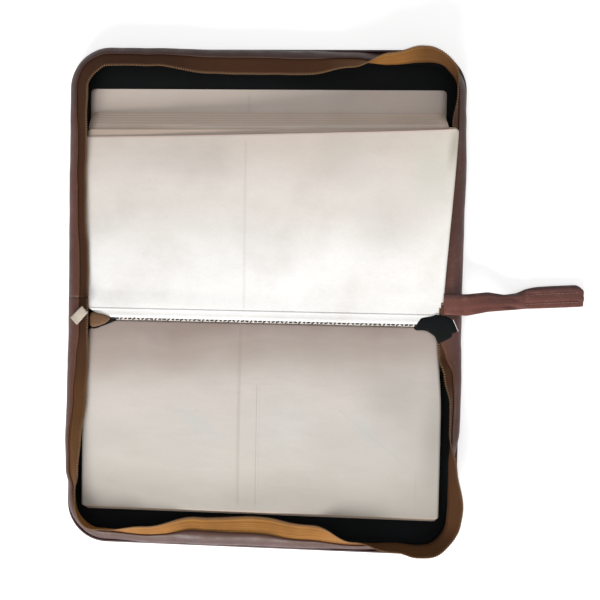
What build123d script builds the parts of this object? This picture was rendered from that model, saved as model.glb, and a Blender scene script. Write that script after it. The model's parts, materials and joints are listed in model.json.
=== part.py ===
"""A zip-round storage case for discs, lying open.

Two padded leatherette covers fold up from a spine. A soft wall with a zip tape runs round
three sides of each cover, and clear pocket leaves are sewn to a ridge along the spine.

Millimetres. X runs along the spine, Y towards the front cover's far edge, Z up.
The origin is on the table under the middle of the spine.
"""

from math import cos, pi, radians, sin
import os

from build123d import *

os.makedirs("parts", exist_ok=True)

# The case

case_width = 290
cover_depth = 160
spine_half = 24
corner_radius = 30
skin_thickness = 1.2
board_thickness = 2.0
lining_thickness = 0.8
fold_slit = 0.1
board_inset = 7.0
board_to_fold = 4.0
lining_inset = 6.6
lining_to_fold = 4.6

# The half-round moulding that covers the edge of the skin

edging_width = 1.6
edging_height = 4.2

# The wall and the zip

wall_thickness = 2.2
wall_height = 11.5
tape_width = 11.3
tape_start = 0.35
tape_end = 0.70
mitre = 1.25
tooth_pitch = 3.4
tooth_length = 1.8
tooth_width = 2.2
tooth_height = 3.0
tooth_proud = 1.0
edge_step = 0.2

# The leaves

leaf_length = 137
leaf_width = 259
leaf_thickness = 0.4
leaf_corner = 5
leaf_trim = 0.1
seam_gap = 0.02
root_cut_width = 12
root_cut_depth = 8
upper_leaves = 8
lower_leaves = 6
margin_width = 7.5
crease_gap = 0.002
fan_power = 1.3
upper_first = (0, 5.0)
upper_step = (-2.0, 1.0)
upper_chord = (0.7, 5.0)
upper_bend = (0.4, 3.2)
lower_first = (-19.9, 4.85)
lower_step = (0.8, 1.15)
lower_chord_step = 0.15
lower_bend = (0.3, 0.25)
pocket_depth = 128
pocket_thickness = 0.6
pocket_corner = 16

# The binding ridge, with its stitches along the top

ridge_top = 10.7
ridge_y = -14.8
ridge_half = 119.5
ridge_front = 0.6
ridge_back = -19.7
ridge_foot = 0.1
ridge_flat = (-0.3, 0.9)
stitch_pitch = 6.4
stitch_length = 4.2
stitch_size = 0.7
stitch_row = 232

# The spine ends, the wrist strap and the zip pull

end_wall_lean = 24
end_tape_lean = 38
end_tape_share = 0.85
strap_width = 16
strap_layer = 1.7
strap_gap = 0.7
strap_pivot = Vector(148.9, 0, 13.4)
strap_start = 0.9
strap_turn = 4.5
strap_drop = 2.2
strap_bends = (18, 44)
strap_length = 84
strap_fold_radii = (20, 22)
patch_half_width = 7.5
patch_thickness = 1.5
patch_gap = 0.1
patch_end = 145.6
slider_y = -1.5
slider_length = 8
slider_width = 7.2
slider_lip = 1.0
slider_plate = 0.9
slider_gap = 1.1
post_size = (1.0, 3)
pivot_in_slider = (-0.6, 3.6)
ear_profile = ((-1.1, 0.6), (-1.1, -2.3), (1.6, -1.9), (1.0, 0.6))
ear_thickness = 0.7
ear_clearance = 0.25
pull_turn = 42
pull_slope = 20
pull_length = 17
pull_width = 6.4
pull_thickness = 1.0
ribbon_start = 3.2
knuckle_radius = 1.25
knuckle_half = 2.0
pin_bore = 0.75
pin_radius = 0.6

half_width = case_width / 2
board_top = skin_thickness + board_thickness
lining_top = board_top + lining_thickness
rim_half = half_width - edging_width
rim_depth = cover_depth - edging_width
rim_radius = corner_radius - edging_width
rim_start = 0.6
first_station = 34
side_run = rim_depth - rim_radius - rim_start
corner_run = rim_radius * pi / 2
far_run = 2 * (rim_half - rim_radius)
rim_length = 2 * side_run + 2 * corner_run + far_run

# Lean of the wall and of the tape from upright, in degrees inwards, along the rim.
# A stretch of the rim is named by its start: side, corner, far edge, corner, side.

far_start = side_run + corner_run
far_end = far_start + far_run
last_side = far_end + corner_run
front_leans = [
    (0, end_wall_lean, end_tape_lean),
    (0.4 * side_run, 19, 34),
    (side_run, 19, 34),
    (far_start, 22, 40),
    (far_start + 0.30 * far_run, 33, 58),
    (far_start + 0.60 * far_run, 32, 54),
    (far_start + 0.82 * far_run, 14, 8),
    (far_end, 6, -6),
    (last_side, 8, 0),
    (last_side + 0.35 * side_run, 18, 26),
    (rim_length, end_wall_lean, end_tape_lean),
]
back_leans = [
    (0, end_wall_lean, end_tape_lean),
    (0.4 * side_run, 19, 33),
    (0.85 * side_run, 17, 30),
    (far_start, 10, 4),
    (far_start + 0.22 * far_run, 28, 46),
    (far_start + 0.50 * far_run, 33, 56),
    (far_start + 0.72 * far_run, 26, 36),
    (far_start + 0.90 * far_run, 8, -4),
    (last_side, 5, -8),
    (last_side + 0.55 * side_run, 10, 2),
    (last_side + 0.75 * side_run, 19, 33),
    (rim_length, end_wall_lean, end_tape_lean),
]


def save(piece, name):
    """Labels a finished piece and writes it under its own name."""
    piece.part.label = name
    export_step(piece.part, f"parts/{name}.step")


def lean_at(leans, run):
    """Wall and tape lean at a distance along the rim, eased between the given places."""
    for (start, wall_0, tape_0), (end, wall_1, tape_1) in zip(leans, leans[1:]):
        if run <= end:
            ease = (1 - cos(pi * (run - start) / (end - start))) / 2
            return wall_0 + ease * (wall_1 - wall_0), tape_0 + ease * (tape_1 - tape_0)
    return leans[-1][1:]


def rim_place(run):
    """Point on the wall's foot line and the inward direction there, for the front cover."""
    left, right = -rim_half, rim_half
    near = spine_half + rim_start
    turn_y = spine_half + rim_depth - rim_radius
    if run <= side_run:
        return Vector(left, near + run), Vector(1, 0)
    if run <= far_start:
        angle = pi - (run - side_run) / rim_radius
        inward = Vector(-cos(angle), -sin(angle))
        return Vector(left + rim_radius, turn_y) - inward * rim_radius, inward
    if run <= far_end:
        return Vector(left + rim_radius + run - far_start, spine_half + rim_depth), Vector(0, -1)
    if run <= last_side:
        angle = pi / 2 - (run - far_end) / rim_radius
        inward = Vector(-cos(angle), -sin(angle))
        return Vector(right - rim_radius, turn_y) - inward * rim_radius, inward
    return Vector(right, near + rim_length - run), Vector(-1, 0)


def spread(start, end, count):
    """Evenly spaced distances from start up to, but not counting, end."""
    return [start + (end - start) * step / count for step in range(count)]


stations = (
    [0]
    + spread(first_station, side_run, 3)
    + spread(side_run, far_start, 5)
    + spread(far_start, far_end, 10)
    + spread(far_end, last_side, 5)
    + spread(last_side, rim_length - first_station, 3)
    + [rim_length - first_station, rim_length]
)


def section_points(leans, run):
    """The wall's and the tape's corners in a section across the rim, as (inward, up)."""
    wall_lean, tape_lean = (radians(angle) for angle in lean_at(leans, run))
    top_outer = Vector(sin(wall_lean), cos(wall_lean)) * wall_height
    across = Vector(cos(wall_lean), -sin(wall_lean)) * wall_thickness
    wall = [Vector(0, 0), Vector(wall_thickness, 0), top_outer + across, top_outer]
    rise = Vector(sin(tape_lean), cos(tape_lean)) * tape_width
    thick = Vector(cos(tape_lean), -sin(tape_lean)) * wall_thickness * (tape_end - tape_start)
    foot_outer = top_outer + across * tape_start
    foot_inner = top_outer + across * tape_end
    tape = [foot_outer, foot_inner, foot_outer + rise + thick, foot_outer + rise]
    return wall, tape


def section_plane(run, side):
    """Plane of a section across the rim. The first and last ones are mitred at the fold."""
    place, inward = rim_place(run)
    slant = mitre if run in (0, rim_length) else 0
    up = Vector(0, slant * side, 1)
    origin = Vector(place.X, place.Y * side, skin_thickness)
    x_dir = Vector(inward.X, inward.Y * side, 0)
    return Plane(origin=origin, x_dir=x_dir, z_dir=x_dir.cross(up.normalized())), up.length


def rim_point(leans, run, side, up):
    """Point a little above the tape's free edge, taken straight between the nearest stations."""
    for before, after in zip(stations, stations[1:]):
        if run <= after:
            break
    share = (run - before) / (after - before)
    ends = []
    for station in (before, after):
        plane, stretch = section_plane(station, side)
        _, tape = section_points(leans, station)
        middle = (tape[2] + tape[3]) * 0.5
        spot = middle + (tape[3] - tape[0]).normalized() * up
        ends.append(plane.from_local_coords(Vector(spot.X, spot.Y * stretch, 0)))
    return ends[0] * (1 - share) + ends[1] * share


def cover_outline(inset, to_fold, side):
    """Draws a cover's outline, round at its two far corners, inside a sketch."""
    width = case_width - 2 * inset
    depth = cover_depth - inset - to_fold
    middle = side * (spine_half + to_fold + depth / 2)
    with Locations((0, middle)):
        Rectangle(width, depth)


def far_corners(sketch, side):
    """The two corners of a cover outline that lie away from the spine."""
    return sketch.vertices().group_by(Axis.Y)[-1 if side > 0 else 0]


def cover_plate(name, low, thickness, inset, to_fold, side):
    """One flat layer of a cover."""
    with BuildPart() as plate:
        with BuildSketch(Plane.XY.offset(low)) as outline:
            cover_outline(inset, to_fold, side)
            fillet(far_corners(outline, side), corner_radius - inset)
        extrude(amount=thickness)
    save(plate, name)


def half_case(name, side, leans, tooth_shift):
    """A cover with its lining, pocket, edging, wall, zip tape and zip teeth."""
    cover_plate(f"{name}_cover_skin", 0, skin_thickness, edging_width, fold_slit, side)
    cover_plate(f"{name}_cover_board", skin_thickness, board_thickness, board_inset, board_to_fold, side)
    cover_plate(f"{name}_cover_lining", board_top, lining_thickness, lining_inset, lining_to_fold, side)

    # A clear pocket welded flat on the lining
    with BuildPart() as pocket:
        with BuildSketch(Plane.XY.offset(lining_top)) as outline:
            with Locations((0, side * (spine_half + lining_to_fold + pocket_depth / 2))):
                Rectangle(leaf_width, pocket_depth - lining_to_fold)
            fillet(far_corners(outline, side), pocket_corner)
        extrude(amount=pocket_thickness)
    save(pocket, f"{name}_cover_pocket")

    # The half-round edging, swept round the edge of the skin and the foot of the wall
    with BuildPart() as edging:
        near_y = side * (spine_half + rim_start)
        far_y = side * (spine_half + rim_depth)
        middle_z = edging_height / 2
        with BuildLine() as route:
            FilletPolyline(
                (-rim_half, near_y, middle_z),
                (-rim_half, far_y, middle_z),
                (rim_half, far_y, middle_z),
                (rim_half, near_y, middle_z),
                radius=rim_radius,
            )
        with BuildSketch(Plane(origin=route.line @ 0, x_dir=(-1, 0, 0), z_dir=route.line % 0)):
            with BuildLine():
                ThreePointArc((0, -middle_z), (edging_width, 0), (0, middle_z))
                Line((0, middle_z), (0, -middle_z))
            make_face()
        sweep()
    save(edging, f"{name}_edging")

    # The wall and the tape, ruled through one section at each station
    for member, label in ((0, "wall"), (1, "zip_tape")):
        with BuildPart() as band:
            for run in stations:
                plane, stretch = section_plane(run, side)
                corners = section_points(leans, run)[member]
                with BuildSketch(plane):
                    Polygon(*[(point.X, point.Y * stretch) for point in corners], align=None)
            loft(ruled=True)
        save(band, f"{name}_{label}")

    # The teeth grip the free edge of the tape
    places = []
    travelled = tooth_shift * tooth_pitch
    run = tooth_pitch
    place = rim_point(leans, run, side, 0)
    while run < rim_length - tooth_pitch:
        before = place
        run += edge_step
        place = rim_point(leans, run, side, 0)
        travelled += (place - before).length
        if travelled >= tooth_pitch:
            travelled -= tooth_pitch
            top = rim_point(leans, run, side, tooth_proud)
            places.append(Plane(origin=top, x_dir=place - before, z_dir=top - place).location)
    with BuildPart() as teeth:
        with Locations(*places):
            Box(
                tooth_length,
                tooth_width,
                tooth_height,
                align=(Align.CENTER, Align.CENTER, Align.MAX),
            )
    save(teeth, f"{name}_zip_teeth")


def leaf_solid(name, root_y, root_z, chord, bend, side, start=0.0, stop=1.0):
    """A pocket leaf as a thin bent sheet, or the stretch of it between two shares of its length.

    It leaves its sewn edge at chord + bend degrees and ends at chord - bend degrees. Its corners
    are cut off at the sewn edge and rounded at the far edge.
    """
    bend_radius = leaf_length / 2 / sin(radians(bend))
    first = radians(chord + bend)

    def edge_point(share, height):
        angle = radians(chord + bend - 2 * bend * share)
        out = bend_radius * (sin(first) - sin(angle)) - height * sin(angle)
        up = bend_radius * (cos(angle) - cos(first)) + height * cos(angle)
        return root_y + side * out, root_z + up

    middle = (start + stop) / 2
    half = leaf_thickness / 2
    with BuildPart() as leaf:
        with BuildSketch(Plane.YZ):
            with BuildLine():
                ThreePointArc(*[edge_point(share, half) for share in (start, middle, stop)])
                Line(edge_point(stop, half), edge_point(stop, -half))
                ThreePointArc(*[edge_point(share, -half) for share in (stop, middle, start)])
                Line(edge_point(start, -half), edge_point(start, half))
            make_face()
        extrude(amount=leaf_width / 2, both=True)
        far_y = edge_point(1.0, 0)[0] - side * leaf_trim
        near_y = root_y - side * leaf_thickness
        root_half = leaf_width / 2 - root_cut_width
        with BuildSketch() as plan:
            with BuildLine():
                Polyline(
                    (-root_half, near_y),
                    (-leaf_width / 2, root_y + side * root_cut_depth),
                    (-leaf_width / 2, far_y),
                    (leaf_width / 2, far_y),
                    (leaf_width / 2, root_y + side * root_cut_depth),
                    (root_half, near_y),
                    close=True,
                )
            make_face()
            fillet(far_corners(plan, side), leaf_corner)
        extrude(amount=leaf_length, mode=Mode.INTERSECT)
    save(leaf, name)


half_case("front", 1, front_leans, 0.5)
half_case("back", -1, back_leans, 0.0)

# The spine: skin, board and lining between the two folds

spine_layers = [
    ("spine_skin", 0, skin_thickness, half_width - edging_width, spine_half - fold_slit),
    ("spine_board", skin_thickness, board_thickness, half_width - board_inset, spine_half - board_to_fold),
    ("spine_lining", board_top, lining_thickness, half_width - lining_inset, spine_half - lining_to_fold),
]
for layer_name, low, thickness, half_length, half_depth in spine_layers:
    with BuildPart() as layer:
        with BuildSketch(Plane.XY.offset(low)):
            Rectangle(2 * half_length, 2 * half_depth)
        extrude(amount=thickness)
    save(layer, layer_name)

# The binding ridge: a folded cloth strip that the leaves are sewn to

with BuildPart() as ridge:
    with BuildSketch(Plane.YZ):
        with BuildLine():
            Polyline(
                (ridge_front, lining_top),
                (ridge_front, lining_top + ridge_foot),
                (ridge_y + ridge_flat[1], ridge_top),
                (ridge_y + ridge_flat[0], ridge_top),
                (ridge_back, lining_top + ridge_foot),
                (ridge_back, lining_top),
                close=True,
            )
        make_face()
    extrude(amount=ridge_half, both=True)
save(ridge, "binding_ridge")

stitch_count = int(stitch_row / stitch_pitch) + 1
with BuildPart() as stitches:
    with Locations((0, ridge_y + sum(ridge_flat) / 2, ridge_top + stitch_size / 2)):
        with GridLocations(stitch_pitch, 1, stitch_count, 1):
            Box(stitch_length, stitch_size, stitch_size)
save(stitches, "binding_stitches")

# The ends of the spine: a leaning wall and the joined end of the zip tape, narrower
# towards the top so that the covers' walls close beside them

end_wall, end_tape = section_points([(0, end_wall_lean, end_tape_lean)], 0)
end_tape[2:] = [
    foot + (top - foot) * end_tape_share for foot, top in zip(end_tape[1::-1], end_tape[2:])
]
foot_half = spine_half - rim_start
tip_height = end_tape[3].Y
for end_name, end_side in (("left", -1), ("right", 1)):
    for corners, label in ((end_wall, "spine_wall"), (end_tape, "zip_end")):
        with BuildPart() as spine_end:
            with BuildSketch(Plane.XZ):
                places = [(end_side * (rim_half - at.X), skin_thickness + at.Y) for at in corners]
                Polygon(*places, align=None)
            extrude(amount=foot_half, both=True)
            with BuildSketch(Plane.YZ):
                Polygon(
                    (-foot_half, skin_thickness),
                    (foot_half, skin_thickness),
                    (foot_half - tip_height, skin_thickness + tip_height),
                    (tip_height - foot_half, skin_thickness + tip_height),
                    align=None,
                )
            extrude(amount=half_width, both=True, mode=Mode.INTERSECT)
        save(spine_end, f"{end_name}_{label}")

# The pocket leaves. The upper ones fan open over the front cover, the lower ones lie flat.
# The two uppermost share one seam, so they lie on each other there.

margin_share = margin_width / leaf_length
top_of_upper = upper_leaves - 1
for number in range(upper_leaves):
    fan = (number / top_of_upper) ** fan_power
    shares_seam = number == top_of_upper - 1
    seam = top_of_upper if shares_seam else number
    under = leaf_thickness + seam_gap if shares_seam else 0
    leaf_shape = (
        upper_first[0] + upper_step[0] * seam,
        upper_first[1] + upper_step[1] * seam - under,
        upper_chord[0] + (upper_chord[1] - upper_chord[0]) * fan,
        upper_bend[0] + (upper_bend[1] - upper_bend[0]) * fan,
        1,
    )
    if number < top_of_upper:
        leaf_solid(f"upper_leaf_{number + 1}", *leaf_shape)
    else:
        leaf_solid("top_leaf_margin", *leaf_shape, stop=margin_share - crease_gap)
        leaf_solid("top_leaf", *leaf_shape, start=margin_share + crease_gap)
for number in range(lower_leaves):
    leaf_shape = (
        lower_first[0] + lower_step[0] * number,
        lower_first[1] + lower_step[1] * number,
        lower_chord_step * number,
        lower_bend[0] + lower_bend[1] * number,
        -1,
    )
    leaf_solid(f"lower_leaf_{number + 1}", *leaf_shape)

# The wrist strap: a patch sewn over the right spine end, and a flat loop hinged to it

tape_tip = Vector(rim_half - end_tape[3].X, skin_thickness + end_tape[3].Y)
tape_out = Vector(cos(radians(end_tape_lean)), sin(radians(end_tape_lean)))
patch_bend = Vector(rim_half - end_wall[3].X, skin_thickness + end_wall[3].Y + 3 * patch_gap)
patch_low = strap_pivot.Z - patch_thickness / 2
with BuildPart() as patch:
    with BuildSketch(Plane.XZ):
        with BuildLine():
            Polyline(
                tape_tip + tape_out * patch_gap,
                patch_bend,
                (patch_end, patch_low),
                (patch_end, patch_low + patch_thickness),
                patch_bend + tape_out * patch_thickness,
                tape_tip + tape_out * (patch_gap + patch_thickness),
                close=True,
            )
        make_face()
    extrude(amount=patch_half_width, both=True)
save(patch, "strap_patch")

with BuildPart() as strap:
    layer_shift = (strap_layer + strap_gap) / 2
    floor_z = strap_layer + strap_gap / 2
    places = [
        (strap_start, strap_pivot.Z),
        (strap_start + strap_bends[0], strap_pivot.Z - strap_drop),
        (strap_start + strap_bends[1], floor_z),
        (strap_length, floor_z),
    ]
    along = Vector(cos(radians(strap_turn)), sin(radians(strap_turn)))
    across = Vector(-along.Y, along.X)
    root = Vector(strap_pivot.X, 0)
    lower = [root + along * far + Vector(0, 0, z - layer_shift) for far, z in places]
    upper = [root + along * far + Vector(0, 0, z + layer_shift) for far, z in reversed(places)]
    under, over = strap_fold_radii
    tip_radius = 0.99 * layer_shift
    with BuildLine() as loop_route:
        FilletPolyline(*lower, *upper, radius=[under, under, tip_radius, tip_radius, over, over])
    with BuildSketch(Plane(origin=loop_route.line @ 0, x_dir=across, z_dir=loop_route.line % 0)):
        Rectangle(strap_width, strap_layer)
    sweep()
save(strap, "wrist_strap")

# The zip slider on the left spine end: two plates either side of the tape, a post past its
# edge and a bridge with the pull tab's pin

tape_rise = radians(90 - end_tape_lean)
tip = (end_tape[2] + end_tape[3]) * 0.5
slider_origin = Vector(tip.X - rim_half, slider_y, skin_thickness + tip.Y)
slider_frame = Plane(
    origin=slider_origin,
    x_dir=(-cos(tape_rise), 0, -sin(tape_rise)),
    z_dir=(-sin(tape_rise), 0, cos(tape_rise)),
)
pull_pivot = slider_frame.from_local_coords(Vector(pivot_in_slider[0], 0, pivot_in_slider[1]))
turn = radians(pull_turn)
slope = radians(pull_slope)
pull_axis = Vector(-sin(turn), cos(turn), 0)
pull_way = Vector(-cos(turn) * cos(slope), -sin(turn) * cos(slope), -sin(slope))
pull_side = Plane(origin=pull_pivot, x_dir=pull_way, z_dir=pull_axis)
ear_gap = knuckle_half + ear_clearance
plate_low = slider_gap / 2

with BuildPart() as slider:
    for low in (-plate_low - slider_plate, plate_low):
        with BuildSketch(slider_frame.offset(low)):
            with Locations((slider_length / 2 - slider_lip, 0)):
                RectangleRounded(slider_length, slider_width, slider_width / 3)
        extrude(amount=slider_plate)
    with BuildSketch(slider_frame):
        with Locations((-post_size[0] / 2 - patch_gap, 0)):
            Rectangle(*post_size)
    extrude(amount=plate_low + slider_plate / 2, both=True)
    for ear in (-1, 1):
        with BuildSketch(pull_side.offset(ear * (ear_gap + ear_thickness / 2))):
            with BuildLine():
                Polyline(*ear_profile, close=True)
            make_face()
        extrude(amount=ear_thickness / 2, both=True)
    with BuildSketch(pull_side):
        Circle(pin_radius)
    extrude(amount=ear_gap + ear_thickness / 2, both=True)
save(slider, "zip_slider")

with BuildPart() as pull:
    with BuildSketch(pull_side):
        Circle(knuckle_radius)
        with Locations((pull_length / 2, 0)):
            Rectangle(pull_length, pull_thickness)
        Circle(pin_bore, mode=Mode.SUBTRACT)
    extrude(amount=knuckle_half, both=True)
    with BuildSketch(pull_side):
        with Locations(((pull_length + ribbon_start) / 2, 0)):
            Rectangle(pull_length - ribbon_start, pull_thickness)
    extrude(amount=pull_width / 2, both=True)
save(pull, "zip_pull_tab")

print("pull pivot", pull_pivot, "axis", pull_axis)
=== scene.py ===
import json
from math import ceil, cos, pi, radians, sin, sqrt

import bpy
import numpy as np
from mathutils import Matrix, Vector


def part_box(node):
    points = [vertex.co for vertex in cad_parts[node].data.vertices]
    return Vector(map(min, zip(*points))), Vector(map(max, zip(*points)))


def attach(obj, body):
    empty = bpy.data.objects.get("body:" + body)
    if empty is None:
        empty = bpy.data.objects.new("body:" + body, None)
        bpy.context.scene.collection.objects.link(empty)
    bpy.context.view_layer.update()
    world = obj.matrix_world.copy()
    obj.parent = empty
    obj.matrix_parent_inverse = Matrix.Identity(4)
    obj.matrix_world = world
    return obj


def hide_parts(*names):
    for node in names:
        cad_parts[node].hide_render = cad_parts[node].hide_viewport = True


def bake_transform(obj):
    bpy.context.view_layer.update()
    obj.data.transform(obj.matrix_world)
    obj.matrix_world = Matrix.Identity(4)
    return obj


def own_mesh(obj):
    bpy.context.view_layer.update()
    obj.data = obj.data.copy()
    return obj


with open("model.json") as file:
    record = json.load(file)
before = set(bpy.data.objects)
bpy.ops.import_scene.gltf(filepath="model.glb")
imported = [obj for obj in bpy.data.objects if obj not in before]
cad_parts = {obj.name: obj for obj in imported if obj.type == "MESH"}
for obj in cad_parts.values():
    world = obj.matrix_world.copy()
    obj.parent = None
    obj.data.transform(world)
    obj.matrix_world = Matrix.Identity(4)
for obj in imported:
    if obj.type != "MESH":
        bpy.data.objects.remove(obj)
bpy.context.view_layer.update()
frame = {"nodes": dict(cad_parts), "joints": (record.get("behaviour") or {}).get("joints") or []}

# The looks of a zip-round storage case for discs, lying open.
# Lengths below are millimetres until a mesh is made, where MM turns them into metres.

MM = 0.001
joint_place = {joint["name"]: joint.get("pos_m") for joint in frame["joints"]}


# Sizes, as in the part

half_width = 145.0
cover_depth = 160.0
spine_half = 24.0
corner_radius = 30.0
skin_top = 1.2
floor_top = 4.0
edging_width = 1.6
edging_height = 4.2
leaf_length = 137.0
leaf_half = 129.5
leaf_thickness = 0.4
root_cut_width = 12.0
root_cut_depth = 8.0
upper_leaves = 8
lower_leaves = 6
upper_chord = (0.7, 5.0)
upper_bend = (0.4, 3.2)
lower_chord_step = 0.15
lower_bend = (0.3, 0.25)
fan_power = 1.3
margin_width = 7.5
ridge_y = -14.5
ridge_top = 10.7
ridge_half = 119.5

# Sizes of the looks alone

wall_rise = 12.5
tape_run = 13.5
wall_depth, wall_thickness, wall_hem = 0.35, 0.9, 0.4
tape_depth, tape_thickness = 1.1, 0.5
wall_lining_depth, wall_lining_thickness = 1.7, 0.45
rim_step = 2.2
tooth_pitch, tooth_half_width, tooth_half_height = 1.7, 0.6, 0.65
tooth_rings = ((-1.2, 0.45), (-0.8, 0.8), (0.1, 0.8), (0.6, 0.5))
skin_height, skin_inset, skin_thickness = 0.62, 1.4, 1.2
floor_height, floor_inset, floor_thickness = 3.72, 5.0, 0.5
floor_crease, floor_wave = 0.9, 0.12
leaf_corner = 2.0
shared_seam_drop = 0.42
pocket_corner = 3.0
pocket_height = 4.3
stitch_start, stitch_pitch, stitch_count, stitch_radius = -109.5, 3.2, 72, 0.5
strap_sides, strap_stitch_pitch, strap_stitch_radius = 36, 3.2, 0.28
tab_shift = 10

rim_half = half_width - edging_width
rim_depth = cover_depth - edging_width
rim_radius = corner_radius - edging_width
rim_near = spine_half + 0.6
side_run = rim_depth - rim_radius - 0.6
corner_run = rim_radius * pi / 2
far_start = side_run + corner_run
far_run = 2 * (rim_half - rim_radius)
far_end = far_start + far_run
last_side = far_end + corner_run
rim_length = last_side + side_run


def far_edge(x):
    """Distance along the rim of a place on a cover's far edge."""
    return far_start + x + rim_half - rim_radius


# The waving rim: distance along it, the wall's and the tape's lean inwards in degrees, the wall's
# bow in degrees, the share of the tape that leather covers, and the tape's width against the usual.

front_rim = [
    (0, 12, 78, 41, 0.55, 1.08),
    (0.3 * side_run, 9, 70, 42, 0.5, 1.0),
    (0.7 * side_run, 9, 66, 42, 0.45, 1.0),
    (side_run, 10, 70, 42, 0.3, 1.0),
    ((side_run + far_start) / 2, 10, 74, 40, 0.3, 1.1),
    (far_edge(-108), 9, 66, 40, 0.3, 1.0),
    (far_edge(-80), 10, 64, 40, 0.3, 1.0),
    (far_edge(-45), 18, 90, 36, 0.25, 1.1),
    (far_edge(-8), 20, 92, 36, 0.25, 1.15),
    (far_edge(27), 24, 84, 32, 0.25, 1.1),
    (far_edge(62), 30, 40, 20, 0.1, 1.0),
    (far_edge(90), 46, -35, 0, 0.0, 1.0),
    (far_edge(110), 40, -52, 5, 0.0, 1.1),
    ((far_end + last_side) / 2, 30, -25, 15, 0.0, 1.0),
    (last_side + 0.05 * side_run, 16, 5, 35, 0.2, 1.0),
    (last_side + 0.2 * side_run, 10, 30, 42, 0.3, 1.0),
    (last_side + 0.4 * side_run, 4, 52, 46, 0.6, 0.9),
    (last_side + 0.75 * side_run, 9, 70, 46, 0.85, 0.95),
    (rim_length, 12, 84, 46, 0.94, 1.0),
]
back_rim = [
    (0, 12, 78, 41, 0.55, 1.08),
    (0.15 * side_run, 12, 84, 45, 0.4, 1.1),
    (0.4 * side_run, 8, 76, 45, 0.3, 1.1),
    (0.6 * side_run, 3, 66, 45, 0.2, 1.05),
    (0.8 * side_run, 8, 45, 45, 0.1, 1.0),
    (0.9 * side_run, 22, 14, 36, 0.1, 1.0),
    ((side_run + far_start) / 2, 40, 4, 22, 0.1, 1.0),
    (far_start + 3, 40, 12, 24, 0.1, 1.0),
    (far_edge(-80), 26, 50, 30, 0.3, 1.0),
    (far_edge(-45), 26, 92, 28, 0.5, 1.35),
    (far_edge(0), 28, 95, 26, 0.4, 1.45),
    (far_edge(40), 28, 75, 25, 0.25, 1.2),
    (far_edge(70), 30, 20, 15, 0.0, 1.0),
    (far_edge(100), 38, -28, 0, 0.0, 0.9),
    (far_end, 34, -40, 0, 0.0, 0.95),
    ((far_end + last_side) / 2, 30, -40, 0, 0.0, 1.0),
    (last_side + 0.1 * side_run, 22, -55, 5, 0.0, 1.15),
    (last_side + 0.3 * side_run, 22, -30, 10, 0.0, 1.0),
    (last_side + 0.5 * side_run, 6, 15, 50, 0.3, 1.0),
    (last_side + 0.65 * side_run, 4, 20, 50, 0.35, 1.0),
    (last_side + 0.8 * side_run, 4, 50, 50, 0.4, 0.95),
    (last_side + 0.92 * side_run, 8, 78, 52, 0.7, 1.05),
    (rim_length, 12, 84, 46, 0.94, 1.0),
]

# Mesh helpers


def add_mesh(name, points, faces, material):
    """A smoothly shaded mesh object from points in millimetres."""
    mesh = bpy.data.meshes.new(name)
    mesh.from_pydata((np.asarray(points, float) * MM).tolist(), [], faces)
    mesh.validate()
    mesh.polygons.foreach_set("use_smooth", [True] * len(mesh.polygons))
    mesh.materials.append(material)
    mesh.update()
    piece = bpy.data.objects.new(name, mesh)
    bpy.context.scene.collection.objects.link(piece)
    return piece


def mark(piece, name, values):
    """Keeps a value at each point of a mesh for its material."""
    attribute = piece.data.attributes.new(name, "FLOAT", "POINT")
    attribute.data.foreach_set("value", np.asarray(values, np.float32).ravel())


def skin_faces(base, rings, size):
    """Faces of a closed skin with capped ends, through rings of points that start at a number."""
    faces = []
    for row in range(rings - 1):
        for at in range(size):
            a, b = base + row * size + at, base + row * size + (at + 1) % size
            faces.append((a, b, b + size, a + size))
    faces.append(tuple(base + at for at in reversed(range(size))))
    faces.append(tuple(base + (rings - 1) * size + at for at in range(size)))
    return faces


def add_rings(points, faces, rings, across, up, sides):
    """Adds a closed skin through rings, each with a middle and a girth, to points and faces."""
    base = len(points)
    for middle, girth in rings:
        for angle in np.linspace(0, 2 * pi, sides, endpoint=False):
            points.append(middle + (across * cos(angle) + up * sin(angle)) * girth)
    faces += skin_faces(base, len(rings), sides)


def tube(name, loops, material):
    """A closed skin through equal loops of points, with flat ends."""
    loops = np.asarray(loops, float)
    count, size = loops.shape[:2]
    piece = add_mesh(name, loops.reshape(-1, 3), skin_faces(0, count, size), material)
    for cap in piece.data.polygons[-2:]:
        cap.use_smooth = False
    return piece


def normals(grid):
    """Unit normals of a grid of points."""
    along = np.gradient(grid, axis=0)
    across = np.gradient(grid, axis=1)
    out = np.cross(across, along)
    return out / np.maximum(np.linalg.norm(out, axis=2, keepdims=True), 1e-9)


def slab(name, grid, thickness, material):
    """A sheet of even thickness about a grid of points, with flat edges."""
    rows, columns = grid.shape[:2]
    out = normals(grid)
    if out[rows // 2, columns // 2, 2] < 0:
        out = -out
    top = (grid + out * thickness / 2).reshape(-1, 3)
    bottom = (grid - out * thickness / 2).reshape(-1, 3)
    below = rows * columns
    at = np.arange(below).reshape(rows, columns)
    faces = []
    for a in at[:-1, :-1].ravel().tolist():
        b, c, d = a + 1, a + columns + 1, a + columns
        faces.append((a, b, c, d))
        faces.append((below + a, below + d, below + c, below + b))
    edge = np.concatenate([at[0, :-1], at[:-1, -1], at[-1, :0:-1], at[:0:-1, 0]]).tolist()
    for a, b in zip(edge, edge[1:] + edge[:1]):
        faces.append((b, a, below + a, below + b))
    piece = add_mesh(name, np.concatenate([top, bottom]), faces, material)
    for side_face in piece.data.polygons[-len(edge):]:
        side_face.use_smooth = False
    return piece


def unit_ways(path):
    """Unit directions along a line of points."""
    way = np.gradient(path, axis=0)
    return way / np.maximum(np.linalg.norm(way, axis=1, keepdims=True), 1e-9)


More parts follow.
